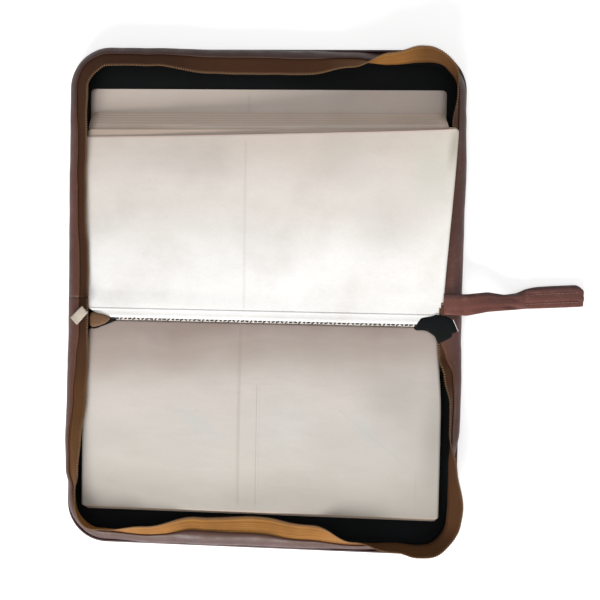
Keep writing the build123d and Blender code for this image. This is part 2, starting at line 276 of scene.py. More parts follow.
def around(path, thickness):
    """The closed outline of a strip of a thickness along an open path in a section."""
    path = np.asarray(path, float)
    way = unit_ways(path)
    side = np.stack([-way[:, 1], way[:, 0]], axis=1) * np.reshape(thickness, (-1, 1)) / 2
    return np.concatenate([path + side, (path - side)[::-1]])


def ripple(x, y, scale, seed=0.0):
    """Smooth irregular waves between about -1 and 1."""
    a, b = x / scale + seed, y / scale - 0.7 * seed
    return (
        np.sin(a + 1.3 * np.sin(0.73 * b + seed))
        + 0.6 * np.sin(1.9 * b + 1.1 * np.sin(1.37 * a))
        + 0.4 * np.sin(2.7 * a - 2.3 * b + seed)
    ) / 2


def squarer(value, power):
    """A cosine or sine drawn out towards 1 and -1, which squares the circle that it makes."""
    return np.sign(value) * np.abs(value) ** power


def smooth(low, high, value):
    """0 below low, 1 above high, and an even curve between them."""
    share = np.clip((value - low) / (high - low), 0, 1)
    return share * share * (3 - 2 * share)


def rim_at(table, run):
    """A rim table's values at a place along the rim, eased between its rows."""
    run = min(max(run, 0), rim_length)
    for before, after in zip(table, table[1:]):
        if run <= after[0]:
            ease = (1 - cos(pi * (run - before[0]) / (after[0] - before[0]))) / 2
            return [a + ease * (b - a) for a, b in zip(before[1:], after[1:])]
    return list(table[-1][1:])


def rim_place(run):
    """Place on the wall's foot line and the inward direction there, for the front cover.

    The line runs on past both folds, as far as the middle of the spine.
    """
    turn_y = spine_half + rim_depth - rim_radius
    if run <= side_run:
        return (-rim_half, rim_near + run), (1, 0)
    if run <= far_start:
        angle = pi - (run - side_run) / rim_radius
        middle_x = -rim_half + rim_radius
    elif run <= far_end:
        return (-rim_half + rim_radius + run - far_start, spine_half + rim_depth), (0, -1)
    elif run <= last_side:
        angle = pi / 2 - (run - far_end) / rim_radius
        middle_x = rim_half - rim_radius
    else:
        return (rim_half, rim_near + rim_length - run), (-1, 0)
    place = (middle_x + rim_radius * cos(angle), turn_y + rim_radius * sin(angle))
    return place, (-cos(angle), -sin(angle))


def on_rim(section, run, side):
    """Turns section points (inward, up from the skin's top) into points in space."""
    (x, y), (in_x, in_y) = rim_place(run)
    section = np.asarray(section, float)
    return np.stack(
        [x + in_x * section[:, 0], side * (y + in_y * section[:, 0]), skin_top + section[:, 1]],
        axis=1,
    )


def bend(piece):
    """Bakes a piece's place into its mesh."""
    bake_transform(piece)


# Materials


class Nodes:
    """A material's node tree with short ways to add to it."""

    def __init__(self, name):
        self.material = bpy.data.materials.new(name)
        self.material.use_nodes = True
        self.tree = self.material.node_tree
        self.shader = self.tree.nodes["Principled BSDF"]
        self.place = self.tree.nodes.new("ShaderNodeTexCoord").outputs["Object"]

    def add(self, kind, inputs=None, **settings):
        node = self.tree.nodes.new("ShaderNode" + kind)
        for key, value in settings.items():
            setattr(node, key, value)
        for key, value in (inputs or {}).items():
            self.put(node.inputs[key], value)
        return node

    def put(self, socket, value):
        if isinstance(value, bpy.types.NodeSocket):
            self.tree.links.new(value, socket)
        else:
            socket.default_value = value

    def set(self, **inputs):
        for key, value in inputs.items():
            self.put(self.shader.inputs[key.replace("_", " ")], value)

    def noise(self, scale, detail=3.0, rough=0.55, denser=1.0):
        """Noise, which may be denser along y."""
        place = self.place
        if denser != 1:
            inputs = {"Vector": place, "Scale": (1.0, denser, 1.0)}
            place = self.add("Mapping", inputs).outputs["Vector"]
        inputs = {"Vector": place, "Scale": scale, "Detail": detail, "Roughness": rough}
        return self.add("TexNoise", inputs).outputs["Fac"]

    def cells(self, scale):
        inputs = {"Vector": self.place, "Scale": scale}
        return self.add("TexVoronoi", inputs, feature="DISTANCE_TO_EDGE").outputs["Distance"]

    def wave(self, scale, direction):
        inputs = {"Vector": self.place, "Scale": scale, "Detail": 1.0}
        return self.add("TexWave", inputs, bands_direction=direction).outputs["Fac"]

    def weave(self, scale):
        return self.sum(self.wave(scale, "X"), self.wave(scale, "Y"), "MULTIPLY")

    def remap(self, value, low, high, new_low=0.0, new_high=1.0, **settings):
        inputs = {"Value": value, "From Min": low, "From Max": high}
        inputs.update({"To Min": new_low, "To Max": new_high})
        return self.add("MapRange", inputs, **settings).outputs["Result"]

    def sum(self, a, b, operation="ADD"):
        return self.add("Math", {0: a, 1: b}, operation=operation).outputs[0]

    def mix(self, share, a, b):
        inputs = {"Factor": share, "A": a, "B": b}
        return self.add("Mix", inputs, data_type="RGBA").outputs["Result"]

    def patch(self, value, low, high, share, a, b):
        """Colour a, with up to a share of b as a value goes from low to high."""
        return self.mix(self.remap(value, low, high, 0.0, share), a, b)

    def bump(self, height, distance, strength=1.0, below=None):
        inputs = {"Height": height, "Distance": distance, "Strength": strength}
        if below is not None:
            inputs["Normal"] = below
        return self.add("Bump", inputs).outputs["Normal"]

    def kept(self, name):
        """A value kept at the mesh's points."""
        return self.add("Attribute", attribute_name=name).outputs["Fac"]

    def ramp(self, value, stops):
        """Colours at places from 0 to 1 along a value."""
        node = self.add("ValToRGB", {"Fac": value})
        line = node.color_ramp
        line.interpolation = "EASE"
        while len(line.elements) < len(stops):
            line.elements.new(0.5)
        for element, (place, colour) in zip(line.elements, stops):
            element.position = place
            element.color = colour
        return node.outputs["Color"]

    def within(self, x, y, turn, length, width):
        """Places as shares of a turned patch's half length and half width."""
        inputs = {
            "Vector": self.place,
            "Location": (x * MM, y * MM, 0),
            "Rotation": (0, 0, turn),
            "Scale": (length / 2 * MM, width / 2 * MM, 1),
        }
        return self.add("Mapping", inputs, vector_type="TEXTURE").outputs["Vector"]

    def spot(self, x, y, width, length, turn):
        """A soft oval mark on a flat piece, strongest in its middle."""
        inside = self.within(x, y, radians(turn), width, length)
        away = self.add("VectorMath", {0: inside}, operation="LENGTH").outputs["Value"]
        return self.remap(away, 1.0, 0.0, interpolation_type="SMOOTHSTEP")

    def stroke(self, x0, y0, x1, y1, width):
        """A thin straight mark from one place to another on a flat piece."""
        way = Vector((x1 - x0, y1 - y0))
        turn = np.arctan2(way.y, way.x)
        inside = self.within((x0 + x1) / 2, (y0 + y1) / 2, turn, way.length, width)
        parts = self.add("SeparateXYZ", {"Vector": inside})
        ends = self.remap(self.sum(parts.outputs["X"], 0, "ABSOLUTE"), 1.0, 0.94)
        across = self.remap(self.sum(parts.outputs["Y"], 0, "ABSOLUTE"), 1.0, 0.3)
        return self.sum(ends, across, "MULTIPLY")


def rgb(red, green, blue):
    """A linear colour from 8-bit screen values."""
    def linear(value):
        value /= 255
        return value / 12.92 if value <= 0.04045 else ((value + 0.055) / 1.055) ** 2.4
    return (linear(red), linear(green), linear(blue), 1)


def leather_material(name, dark, light, rubbed, brown_and_painted_shade=None):
    """Grained leatherette with rubbed highlights, soft creases, a browner free edge, and painted
    shade towards both ends of y."""
    made = Nodes(name)
    painted_shade_tone = (0.012, 0.004, 0.004, 1)
    colour = made.patch(made.noise(22, 4, 0.6), 0.35, 0.7, 1.0, dark, light)
    if brown_and_painted_shade is not None:
        colour = made.patch(made.kept("across"), 0.45, 0.95, 0.9, colour, brown_and_painted_shade)
    colour = made.patch(made.noise(160, 3, 0.6), 0.55, 0.8, 0.35, colour, rubbed)
    # Painted shade: darker towards both ends of y, most of all towards the far edge of the front
    # cover.
    y = made.add("SeparateXYZ", {"Vector": made.place}).outputs["Y"]
    colour = made.patch(y, 0.1, 0.17, 0.7, colour, painted_shade_tone)
    colour = made.patch(y, -0.06, -0.15, 0.38, colour, painted_shade_tone)
    creases = made.bump(made.noise(70, 3, 0.5), 0.0012, 0.5)
    made.set(
        Base_Color=colour,
        Roughness=made.remap(made.noise(90, 3), 0.3, 0.7, 0.38, 0.56),
        Specular_IOR_Level=0.32,
        Normal=made.bump(made.cells(900), 0.0004, 0.35, creases),
    )
    return made.material


def tape_material(name):
    """Woven zip tape: lengthwise stripes of brown and gold, with a lighter free edge.

    Its faces are darkened in places by painted shade, which the mesh keeps as a value at its points.
    """
    made = Nodes(name)
    share = made.kept("across")
    stripes = made.add("TexNoise", {"Scale": 9.0, "Detail": 2.0}, noise_dimensions="1D")
    made.put(stripes.inputs["W"], made.sum(share, 1.7, "MULTIPLY"))
    gold = made.patch(stripes.outputs["Fac"], 0.35, 0.65, 1.0, rgb(150, 100, 46), rgb(184, 130, 66))
    gold = made.patch(share, 0.45, 0.0, 1.0, gold, rgb(112, 68, 30))
    gold = made.patch(share, 0.9, 0.96, 0.4, gold, rgb(176, 138, 92))
    gold = made.patch(made.noise(35, 3), 0.35, 0.75, 0.45, gold, rgb(104, 64, 30))
    # Painted shade on the tape's outer and inner faces
    gold = made.mix(made.kept("brown_and_painted_shade"), gold, rgb(56, 30, 15))
    weave = made.sum(made.wave(1500, "DIAGONAL"), made.noise(2500, 1))
    made.set(
        Base_Color=gold,
        Roughness=0.75,
        Specular_IOR_Level=0.2,
        Normal=made.bump(weave, 0.0002, 0.5),
    )
    return made.material


def lining_material(name):
    """Fine black woven lining with a faint blue cast."""
    made = Nodes(name)
    colour = made.patch(made.noise(30, 4), 0.3, 0.7, 1.0, rgb(7, 8, 9), rgb(13, 15, 17))
    made.set(
        Base_Color=colour,
        Roughness=0.85,
        Specular_IOR_Level=0.15,
        Normal=made.bump(made.weave(1300), 0.00015, 0.4, made.bump(made.noise(60, 3), 0.001, 0.4)),
    )
    return made.material


def page_material(name, span, stops, rim, marks=(), seams=()):
    """Clear film over a white backing: grey blotches, fine grain, long soft creases, welded seams.

    The colours change from the near to the far end of span, which is a range of y; on the pages this
    ramp is painted light and shade. Each mark is (strength, colour, and the places of a spot), a
    patch of painted sheen where lighter and painted shade where darker, and each seam (strength, and
    those of a stroke).
    """
    made = Nodes(name)
    y = made.add("SeparateXYZ", {"Vector": made.place}).outputs["Y"]
    wander = made.remap(made.noise(11, 3), 0.3, 0.7, -0.06, 0.06)
    far = made.sum(made.remap(y, span[0] * MM, span[1] * MM), wander)
    colour = made.ramp(far, stops)
    # Painted sheen and painted shade patches
    for strength, tint, *place in marks:
        colour = made.mix(made.sum(made.spot(*place), strength, "MULTIPLY"), colour, tint)
    colour = made.patch(made.noise(26, 4, 0.55), 0.45, 0.75, 0.25, colour, rgb(186, 178, 170))
    fibre = made.noise(420, 3, 0.7, 1.6)
    colour = made.patch(fibre, 0.3, 0.75, 0.08, colour, rgb(160, 150, 142))
    relief = made.bump(made.noise(9, 4, 0.5, 2.2), 0.004, 0.35)
    for strength, *place in seams:
        line = made.stroke(*place)
        colour = made.mix(made.sum(line, strength, "MULTIPLY"), colour, rgb(150, 138, 128))
        if strength > 0.15:
            relief = made.bump(line, 0.0003, 0.5, relief)
    # The rim colour at a leaf's far edge: partly the film's edge, partly painted shadow where
    # stacked leaves step down.
    colour = made.mix(made.sum(made.kept("rim"), 0.75, "MULTIPLY"), colour, rim)
    made.set(
        Base_Color=colour,
        Roughness=made.remap(made.noise(40, 3), 0.3, 0.7, 0.42, 0.6),
        Normal=made.bump(fibre, 0.0001, 0.5, relief),
        Specular_IOR_Level=0.4,
    )
    return made.material


def speckled_material(name, speckle, tones, relief, strength, **inputs):
    """Two tones speckled by a fine noise, over a relief that a function makes from the nodes."""
    made = Nodes(name)
    colour = made.mix(made.noise(*speckle), *tones)
    made.set(Base_Color=colour, Normal=made.bump(relief(made), 0.0001, strength), **inputs)
    return made.material


def thread_material(name, *tones):
    """Thread or cloth in two tones, with fine slanting strands."""
    return speckled_material(
        name, (700, 2), tones, lambda made: made.wave(4000, "DIAGONAL"), 0.5, Roughness=0.75
    )


def metal_material(name):
    """Worn dark bronze."""
    made = Nodes(name)
    made.set(
        Base_Color=made.mix(made.noise(300, 3), rgb(96, 72, 48), rgb(60, 44, 32)),
        Metallic=1.0,
        Roughness=made.remap(made.noise(500, 2), 0.3, 0.7, 0.3, 0.5),
        Normal=made.bump(made.noise(900, 2), 0.0001, 0.3),
    )
    return made.material


leather = leather_material(
    "leatherette", rgb(64, 38, 36), rgb(92, 60, 58), rgb(124, 88, 84), rgb(84, 48, 30)
)
piping_leather = leather_material(
    "cover_leatherette", rgb(62, 36, 34), rgb(88, 56, 54), rgb(120, 84, 80)
)
# The last colour here is painted shade on the strap's far (+y) side.
strap_leather = leather_material(
    "strap_leatherette", rgb(78, 42, 36), rgb(112, 66, 56), rgb(152, 104, 94), rgb(44, 20, 18)
)
tape_cloth = tape_material("zip_tape_weave")
lining = lining_material("lining_weave")
rim_brown = rgb(165, 140, 125)
top_page = page_material(
    "page_film",
    (-14, 121),
    # Painted light: brightest near the binding, greying towards the far edge
    [
        (0.0, rgb(248, 248, 247)),
        (0.3, rgb(247, 246, 244)),
        (0.65, rgb(232, 226, 220)),
        (1.0, rgb(216, 204, 194)),
    ],
    rgb(196, 174, 164),
    # Painted shade, most of all at the lifted far right corner
    marks=[
        (0.5, rgb(196, 198, 186), 120, 96, 60, 90, 0),
        (0.35, rgb(206, 200, 194), -60, 104, 130, 46, 0),
        (0.3, rgb(200, 198, 192), 60, 100, 70, 60, 20),
        (0.45, rgb(206, 202, 196), 92, 62, 90, 90, 0),
        (0.85, rgb(168, 162, 148), 133, 110, 11, 44, -6),
    ],
    # The second stroke is painted shade along the crease near the binding
    seams=[(0.12, -12.5, -8, -12.5, 116, 3.0), (0.1, -124, -9.5, 126, -9.0, 1.4)],
)
under_page = page_material(
    "page_film_under",
    (100, 140),
    # Painted shade where these leaves lie under others, lighter towards their far edges
    [
        (0.0, rgb(184, 166, 152)),
        (0.5, rgb(186, 168, 154)),
        (0.68, rgb(222, 206, 192)),
        (1.0, rgb(218, 200, 184)),
    ],
    rgb(190, 168, 150),
)
low_page = page_material(
    "page_film_low",
    (-16, -153),
    # Painted shade near the binding, lightest in the middle, darker again towards the far edge
    [
        (0.0, rgb(160, 143, 135)),
        (0.12, rgb(176, 162, 154)),
        (0.38, rgb(211, 204, 197)),
        (0.7, rgb(200, 195, 188)),
        (1.0, rgb(170, 164, 156)),
    ],
    rgb(184, 170, 158),
    # The first three marks are painted sheen on the film, the last two painted shade
    marks=[
        (0.4, rgb(218, 217, 214), 20, -88, 90, 70, 0),
        (0.45, rgb(196, 198, 196), -44, -90, 66, 22, -32),
        (0.45, rgb(196, 199, 198), 78, -92, 64, 20, -38),
        (0.6, rgb(168, 162, 154), 128, -100, 34, 150, 0),
        (0.55, rgb(174, 170, 162), 98, -66, 80, 60, 0),
    ],
    seams=[
        (0.22, -15.0, -18, -15.0, -152, 3.4),
        (0.2, -1.9, -60, -1.9, -152, 0.9),
        (0.12, 0.3, -60, 0.3, -152, 0.9),
        (0.08, -14, -60, 14, -60, 1.2),
        (0.08, 56.5, -76.3, 110.8, -118.8, 1.6),
        (0.1, 113.8, -118, 114.2, -152, 1.6),
    ],
)
strip_film = page_material(
    "binding_strip_film",
    (-17, -10),
    [(0.0, rgb(196, 190, 184)), (1.0, rgb(236, 235, 232))],
    rim_brown,
)
pocket_film = page_material(
    "pocket_film",
    (31, 154),
    [(0.0, rgb(196, 180, 170)), (0.75, rgb(202, 187, 176)), (1.0, rgb(208, 194, 184))],
    rgb(178, 160, 148),
    seams=[(0.12, -12.5, 33, -12.5, 153, 4.0)],
)
thread_dark = thread_material("binding_thread", rgb(28, 26, 32), rgb(60, 55, 60))
thread_brown = thread_material("seam_thread", rgb(120, 84, 76), rgb(150, 112, 100))
tooth_nylon = thread_material("zip_coil", rgb(138, 106, 74), rgb(112, 82, 54))
end_cloth = thread_material("tape_end_weave", rgb(128, 92, 60), rgb(88, 60, 38))
bronze = metal_material("antique_bronze")
ribbon = speckled_material(
    "ribbon_weave", (120, 3), (rgb(166, 154, 138), rgb(190, 180, 164)),
    lambda made: made.weave(2600), 0.5, Roughness=0.6, Sheen_Weight=0.2,
)
board_card = speckled_material(
    "board_card", (200, 3), (rgb(120, 110, 96), rgb(150, 140, 124)),
    lambda made: made.noise(800, 2), 0.4, Roughness=0.85,
)


def dress(node, material):
    """Gives a kept CAD node its material."""
    slots = frame["nodes"][node].data.materials
    slots.clear()
    slots.append(material)


# Walls and tapes

section_steps = 34
leather_points = 14
tape_points = 12


def profile(wall, tape, bow, width):
    """Outer line of a wall and its tape in a section, from the foot, with the distances along it."""
    length = wall_rise + width
    middle = (np.arange(section_steps) + 0.5) / section_steps * length
    over = smooth(0, 0.45, (middle - wall_rise) / width)
    standing = wall + bow * (2 * middle / wall_rise - 1)
    turning = wall + bow + (tape - wall - bow) * over
    lean = np.radians(np.where(middle < wall_rise, standing, turning))
    steps = np.stack([np.sin(lean), np.cos(lean)], axis=1) * length / section_steps
    points = np.concatenate([[[0.0, 0.0]], np.cumsum(steps, axis=0)])
    return np.linspace(0, length, section_steps + 1), points


def layer(line, start, end, depth, count):
    """A part of a profile, moved inwards by a depth."""
    travelled, points = line
    at = np.linspace(start, end, count)
    path = np.stack([np.interp(at, travelled, points[:, axis]) for axis in range(2)], axis=1)
    way = unit_ways(path)
    return path + np.stack([way[:, 1], -way[:, 0]], axis=1) * depth


def wall_lining_path(line):
    """Black lining inside the wall, rounding into the floor of the tray."""
    path = list(layer(line, wall_rise * 0.42, wall_rise * 0.97, wall_lining_depth, 5)[::-1])
    start = path[-1]
    drop = max(start[1] - (floor_top - skin_top), 0.3)
    for share in (0.35, 0.7, 1.0):
        angle = share * pi / 2
        path.append(start + np.array([2.6 * (1 - cos(angle)), -drop * sin(angle)]))
    path.append(np.array([start[0] + 5.2, start[1] - drop + 0.1]))
    return np.array(path)


def half_wall(name, side, table):
    """Piping, wall, wall lining, tape and teeth of one half of the case."""
    start, end = -rim_near, rim_length + rim_near
    welt = [
        (0.3 - 1.9 * sin(angle), edging_height / 2 - skin_top - edging_height / 2 * cos(angle))
        for angle in np.linspace(0, pi, 9)
    ]
    loops = {"wall": [], "lining": [], "tape": [], "piping": []}
    tips, painted_shade_shares = [], []
    wall_thicknesses = [wall_thickness] * (leather_points - 1) + [wall_hem]
    for run in np.linspace(start, end, int(round((end - start) / rim_step)) + 1):
        wall, tape, bow, covered, stretch = rim_at(table, run)
        away = smooth(0, 14, run + rim_near) * smooth(0, 14, rim_length + rim_near - run)
        wall += 1.6 * float(ripple(run, 0.0, 9.0, side + 2)) * away
        tape += 2.5 * float(ripple(run, 5.0, 14.0, side)) * away
        bow += 2.0 * float(ripple(run, 9.0, 6.0, side + 5)) * away
        width = tape_run * stretch
        line = profile(wall, tape, bow, width)
        skin = layer(line, 0, wall_rise + covered * width, wall_depth, leather_points)
        loops["wall"].append(on_rim(around(skin, wall_thicknesses), run, side))
        inner = around(wall_lining_path(line), wall_lining_thickness)
        loops["lining"].append(on_rim(inner, run, side))
        cloth = layer(line, wall_rise * 0.86, wall_rise + width, tape_depth, tape_points)
        loops["tape"].append(on_rim(around(cloth, tape_thickness), run, side))
        loops["piping"].append(on_rim(welt, run, side))
        tips.append(on_rim([cloth[-1], cloth[-2]], run, side))
        painted_shade_shares.append(painted_shade_at(side, run))
    looks = (
        ("wall", "wall_leather", leather, "leatherette", "wall"),
        ("lining", "wall_lining", lining, "lining", None),
        ("tape", "zip_tape_weave", tape_cloth, "zip_tape", "zip_tape"),
        ("piping", "piping", piping_leather, "leatherette", "edging"),
    )
    for key, title, material, slot, node in looks:
        piece = tube(f"{name}_{title}", loops[key], material)
        if key in ("wall", "tape"):
            out = np.linspace(0, 1, leather_points if key == "wall" else tape_points)
            mark(piece, "across", np.tile(np.concatenate([out, out[::-1]]), len(tips)))
        if key == "tape":
            # The tape's painted shade, for its outer and inner faces
            mark(piece, "brown_and_painted_shade", np.repeat(np.array(painted_shade_shares), tape_points, axis=1))
        bend(piece)
        if node:
            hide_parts(f"{name}_{node}")
    teeth = coil(f"{name}_zip_coil", tips)
    bend(teeth)
    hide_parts(f"{name}_zip_teeth")


# How much painted shade a tape's faces carry: distance along the rim, and the shares of its outer
# and inner faces

front_painted_shade = [
    (far_edge(-60), 0.97, 0.5),
    (far_edge(30), 0.95, 0.4),
    (far_edge(80), 0.7, 0.25),
    (far_edge(98), 0.75, 0.35),
    (far_edge(114), 0.85, 0.7),
    (last_side, 0.95, 0.85),
]
back_painted_shade = [
    (0, 0.97, 0.5),
    (0.3 * side_run, 0.85, 0.5),
    (0.8 * side_run, 0.75, 0.4),
    (far_start, 0.35, 0.1),
    (far_edge(-60), 0.0, 0.1),
    (far_edge(50), 0.05, 0.3),
    (far_edge(85), 0.7, 0.85),
    (last_side, 0.9, 0.9),
]


def painted_shade_at(side, run):
    """How much painted shade the tape's outer and inner faces carry, from 0 to 1, at a place along
    the rim.
    """
    places, *shares = zip(*(front_painted_shade if side > 0 else back_painted_shade))
    return [np.interp(run, places, share) for share in shares]


def coil(name, tips):
    """The zip's row of rounded teeth along the tape's free edge."""
    tips = np.asarray(tips)
    line, under = tips[:, 0], tips[:, 1]
    steps = np.linalg.norm(np.diff(line, axis=0), axis=1)
    travelled = np.concatenate([[0], np.cumsum(steps)])
    points, faces = [], []
    for place in np.arange(tooth_pitch, travelled[-1] - tooth_pitch, tooth_pitch):
        at, foot = (
            np.array([np.interp(place, travelled, edge[:, axis]) for axis in range(3)])
            for edge in (line, under)
        )
        ahead = np.array([np.interp(place + 0.5, travelled, line[:, axis]) for axis in range(3)])
        out = (at - foot) / np.linalg.norm(at - foot)
        way = (ahead - at) / np.linalg.norm(ahead - at)
        flat = np.cross(out, way)
        rings = [(at + out * level, girth) for level, girth in tooth_rings]
        add_rings(points, faces, rings, way * tooth_half_width, flat * tooth_half_height, 6)
    return add_mesh(name, points, faces, tooth_nylon)


# Flat layers: skins and linings


def outline_half(along, length, full, radius):
    """Half width of an outline with two rounded far corners, at a distance along it."""
    left = along - (length - radius)
    if left <= 0:
        return full
    return full - radius + sqrt(max(radius**2 - left**2, 0))


def rows_to(length, radius, near, step):
    """Distances along an outline, closer together round its far corners."""
    straight = np.linspace(near, length - radius, max(2, int((length - radius - near) / step)))
    bow = length - radius + radius * np.sin(np.linspace(0, pi / 2, 12))[1:]
    return np.concatenate([straight, bow])


def flat_half(name, side, height, inset, thickness, material, crease, wave):
    """A sheet over one half of the case, from the middle of the spine to the cover's far edge."""
    length = spine_half + cover_depth - inset
    radius = corner_radius - inset
    grid = []
    for along in rows_to(length, radius, 0.0, 3.0):
        half = outline_half(along, length, half_width - inset, radius)
        x = np.linspace(-half, half, 81)
        fold_and_glint = crease * np.exp(-(((along - spine_half) / 2.2) ** 2))
        z = height - fold_and_glint + wave * ripple(x, along, 17.0, side)
        grid.append(np.stack([x, np.full_like(x, side * along), z], axis=1))
    piece = slab(name, np.array(grid), thickness, material)
    bend(piece)
    return piece


for half_name, half_side, half_rim in (("front", 1, front_rim), ("back", -1, back_rim)):
    half_wall(half_name, half_side, half_rim)
    skin = flat_half(
        f"{half_name}_skin_leather", half_side,
        skin_height, skin_inset, skin_thickness, piping_leather, 0.0, 0.0,
    )
    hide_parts(f"{half_name}_cover_skin", *(["spine_skin"] if half_side > 0 else []))
    floor_cloth = flat_half(
        f"{half_name}_floor_lining", half_side,
        floor_height, floor_inset, floor_thickness, lining, floor_crease, floor_wave,
    )
    stood_for = [f"{half_name}_cover_lining"] + (["spine_lining"] if half_side > 0 else [])
    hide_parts(*stood_for)
    dress(f"{half_name}_cover_board", board_card)
dress("spine_board", board_card)


# Leaves


def arc_point(along, chord, bow):
    """Place and slope on a leaf's bent middle line, from its sewn edge."""
    bend_radius = leaf_length / 2 / sin(radians(bow))
    first = radians(chord + bow)
    angle = radians(chord + bow - 2 * bow * along / leaf_length)
    return bend_radius * (sin(first) - sin(angle)), bend_radius * (cos(angle) - cos(first)), angle


def leaf_rows(start, stop, step):
    """Distances along a leaf, closer at the cut root, the far corners and the far edge."""
    near_end = max(start, min(stop, root_cut_depth))
    rows = [np.linspace(start, near_end, 6)] if start < root_cut_depth else [[start]]
    near, far = max(start, root_cut_depth), min(stop, leaf_length - leaf_corner - 1)
    if far > near:
        rows.append(np.linspace(near, far, int(ceil((far - near) / step)) + 1)[1:])
    if stop > leaf_length - leaf_corner:
        rows.append(leaf_length - leaf_corner + leaf_corner * np.sin(np.linspace(0, pi / 2, 7)))
    rows = np.concatenate(rows)
    return rows[rows <= stop + 1e-6]


def leaf_slab(name, root, arc, side, span, columns, step, edges, short, lift, material):
    """A leaf, or the part of it in a span of distances from its sewn edge.

    edges(share) gives how far it reaches to the left and right at a share of its length, short(u)
    how much shorter it is at a place u across from -1 to 1, and lift(u, share, x, along) how far
    it stands off its bent middle surface.
    """
    rows = leaf_rows(*span, step)
    grid = []
    for along in rows:
        out, up, angle = arc_point(along, *arc)
        share = along / leaf_length
        cut = root_cut_width * max(0.0, 1 - along / root_cut_depth) ** 1.3
        corner = leaf_half - outline_half(along, leaf_length, leaf_half, leaf_corner)
        left, right = edges(share)
        u = np.linspace(-1, 1, columns)
        x = (right - left) / 2 + u * (left + right) / 2
        x = x - u * (cut + corner)
        off = lift(u, share, x, along)
        y = root[0] + side * (out * (1 - short(u) / leaf_length) - off * sin(angle))
        z = root[1] + up + off * cos(angle)
        grid.append(np.stack([x, y, z], axis=1))
    piece = slab(name, np.array(grid), leaf_thickness, material)
    rim = np.repeat(smooth(leaf_length - 1.6, leaf_length - 0.4, rows), columns)
    mark(piece, "rim", np.concatenate([rim, rim]))
    return piece


def declare_leaf(piece, node, body):
    """Attaches a leaf's mesh to the body it rides, and hides the node it stands for."""
    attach(piece, body)
    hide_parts(node)


def taper(share):
    """How much narrower a leaf is on each side near its sewn edge."""
    return 3.5 * (1 - smooth(0, 0.45, share))


def fan_lift(rise):
    """The twist of the fan: its left side lies down on the stack, and its right side lifts.

    It begins beyond the top leaf's crease, which stays straight for the leaf to turn on.
    """
    def off(u, share):
        twist = rise * (-0.33 + 0.85 * u + 0.29 * u * u) * share ** (1.12 + 0.28 * u)
        return twist * smooth(0.04, 0.16, share)
    return off


def sewn_edge(joint, drop=0.0):
    """Place along y and height of a leaf's sewn edge, which may lie a little below its joint."""
    _, y, z = joint_place[joint]
    return y / MM, z / MM - drop


def fan_arc(number):
    """Chord and bow in degrees of an upper leaf, from its place in the fan."""
    fan = (number / (upper_leaves - 1)) ** fan_power
    chord = upper_chord[0] + (upper_chord[1] - upper_chord[0]) * fan
    return chord, upper_bend[0] + (upper_bend[1] - upper_bend[0]) * fan


def press_flat(leaf):
    """Gives a leaf its own copy of its mesh."""
    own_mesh(leaf)


for number in range(upper_leaves - 1):
    node = f"upper_leaf_{number + 1}"
    loose = number == upper_leaves - 2
    body = "top_leaf_margin" if loose else node
    arc = fan_arc(number)
    off = fan_lift(leaf_length * sin(radians(arc[0])))

    def under_lift(u, share, x, along):
        crumple = 0.2 * ripple(x, along, 21.0, 0.9 * number) * min(1.0, share * 4)
        if loose:
            corner = smooth(0.86, 1.0, u) * smooth(0.75, 0.95, share)
            crumple = crumple + corner * (1.2 + 1.3 * ripple(x, along, 3.4, 2))
        return off(u, share) + crumple

    def under_edges(share):
        reach = 129.6 - taper(share)
        return reach, reach + (5.5 * smooth(0.75, 1.0, share) if loose else 0.0)

    leaf = leaf_slab(
        f"{node}_page", sewn_edge(f"{body}_hinge", shared_seam_drop if loose else 0.0),
        arc, 1, (0, leaf_length), 121 if loose else 41, 3.0 if loose else 5.0,
        under_edges, lambda u: 0.0, under_lift, under_page,
    )
    declare_leaf(leaf, node, body)
    press_flat(leaf)

# The top leaf and the margin that it turns on

top_arc = fan_arc(upper_leaves - 1)
top_off = fan_lift(leaf_length * sin(radians(top_arc[0])))


def top_lift(u, share, x, along):
    """Its lifted right corner, its waves, the crease and the raised sewn edge."""
    corner = 1.8 * smooth(0.85, 1.15, u) * smooth(0.8, 1.0, share)
    waves = 0.3 * ripple(x, along, 23.0, 6.3) * min(1.0, share * 4)
    crease = -0.5 * np.exp(-(((along - 4.6) / 0.9) ** 2))
    return top_off(u, share) + corner + waves + crease + 0.4 * max(0.0, 1 - share * 9)


def top_edges(share):
    """Its reach to the left and right, wider towards the far edge."""
    left = 132.2 - 4.4 * (1 - smooth(-0.1, 0.6, share))
    return left, 135.6 - 5.6 * (1 - smooth(-0.1, 1.1, share))


def top_slab(name, span, step):
    """A part of the top leaf, in a span of distances from its sewn edge."""
    return leaf_slab(
        name, sewn_edge("top_leaf_margin_hinge"), top_arc, 1, span, 161, step,
        top_edges, lambda u: 3.5 - 2.0 * u, top_lift, top_page,
    )


leaf = top_slab("top_leaf_page", (margin_width, leaf_length), 2.2)
declare_leaf(leaf, "top_leaf", "top_leaf")
press_flat(leaf)
margin = top_slab("top_leaf_margin_strip", (0, margin_width), 1.0)
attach(margin, "top_leaf_margin")
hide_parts("top_leaf_margin")

